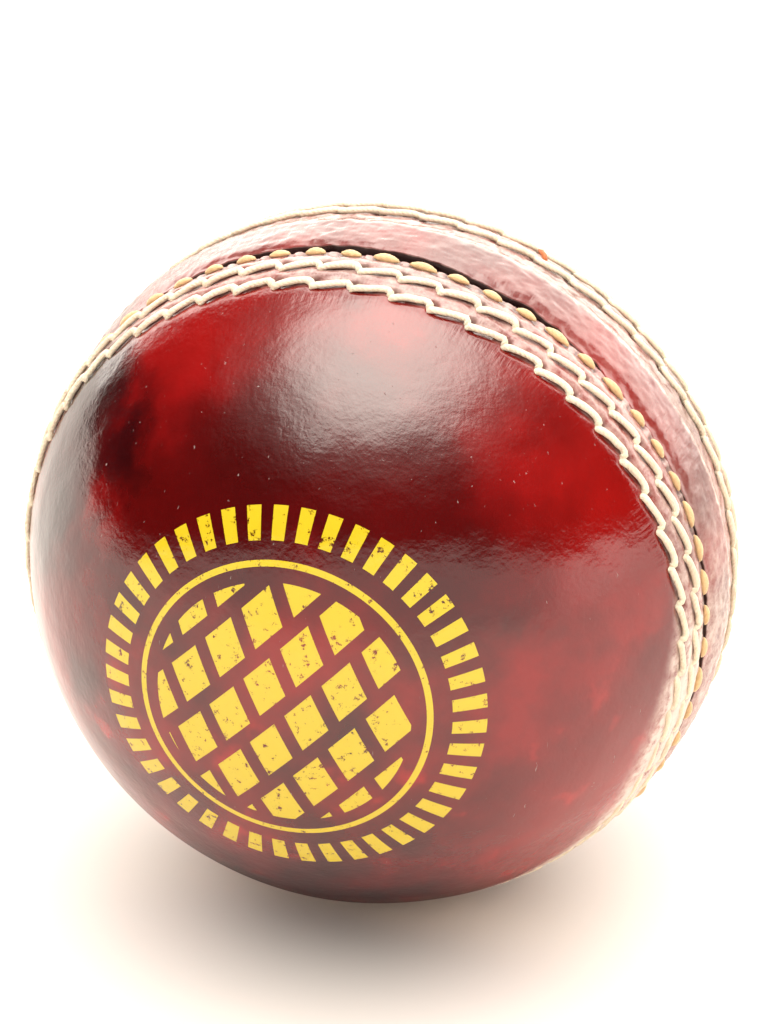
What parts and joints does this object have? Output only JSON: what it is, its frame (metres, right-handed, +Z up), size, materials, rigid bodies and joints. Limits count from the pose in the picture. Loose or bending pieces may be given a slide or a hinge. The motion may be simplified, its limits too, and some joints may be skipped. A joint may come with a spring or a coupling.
{
  "type": "cricket ball",
  "caption": "Hard leather cricket ball with a raised stitched seam round its middle, over a quilted yarn and cork inside.",
  "frame": {"origin": "the centre of the ball", "axes": "+Y along the seam's axis, away from the stamped front cup, so the seam lies in the XZ plane; +Z up, with the ball standing on its seam"},
  "size_m": [0.0728, 0.0714, 0.0728],
  "materials": {
    "red_leather": "dyed dark red and lacquered, mottled, worn by play",
    "cream_thread": "waxed linen thread, cream",
    "closing_thread": "waxed linen thread, golden tan",
    "lining_cloth": "coarse woven backing",
    "worsted_yarn": "tightly wound undyed yarn",
    "cork": "natural sheet cork",
    "cork_rubber": "moulded cork and rubber"
  },
  "bodies": {
    "root": {"front_cup": "red_leather", "back_cup": "red_leather", "front_inner_stitches": "cream_thread", "front_outer_stitches": "cream_thread", "back_inner_stitches": "cream_thread", "back_outer_stitches": "cream_thread", "closing_thread": "closing_thread", "front_lining": "lining_cloth", "back_lining": "lining_cloth", "outer_winding": "worsted_yarn", "middle_winding": "worsted_yarn", "inner_winding": "worsted_yarn", "outer_cork_slip_1": "cork", "outer_cork_slip_2": "cork", "outer_cork_slip_3": "cork", "outer_cork_slip_4": "cork", "inner_cork_slip_1": "cork", "inner_cork_slip_2": "cork", "inner_cork_slip_3": "cork", "inner_cork_slip_4": "cork", "cork_rubber_centre": "cork_rubber"}
  },
  "joints": []
}
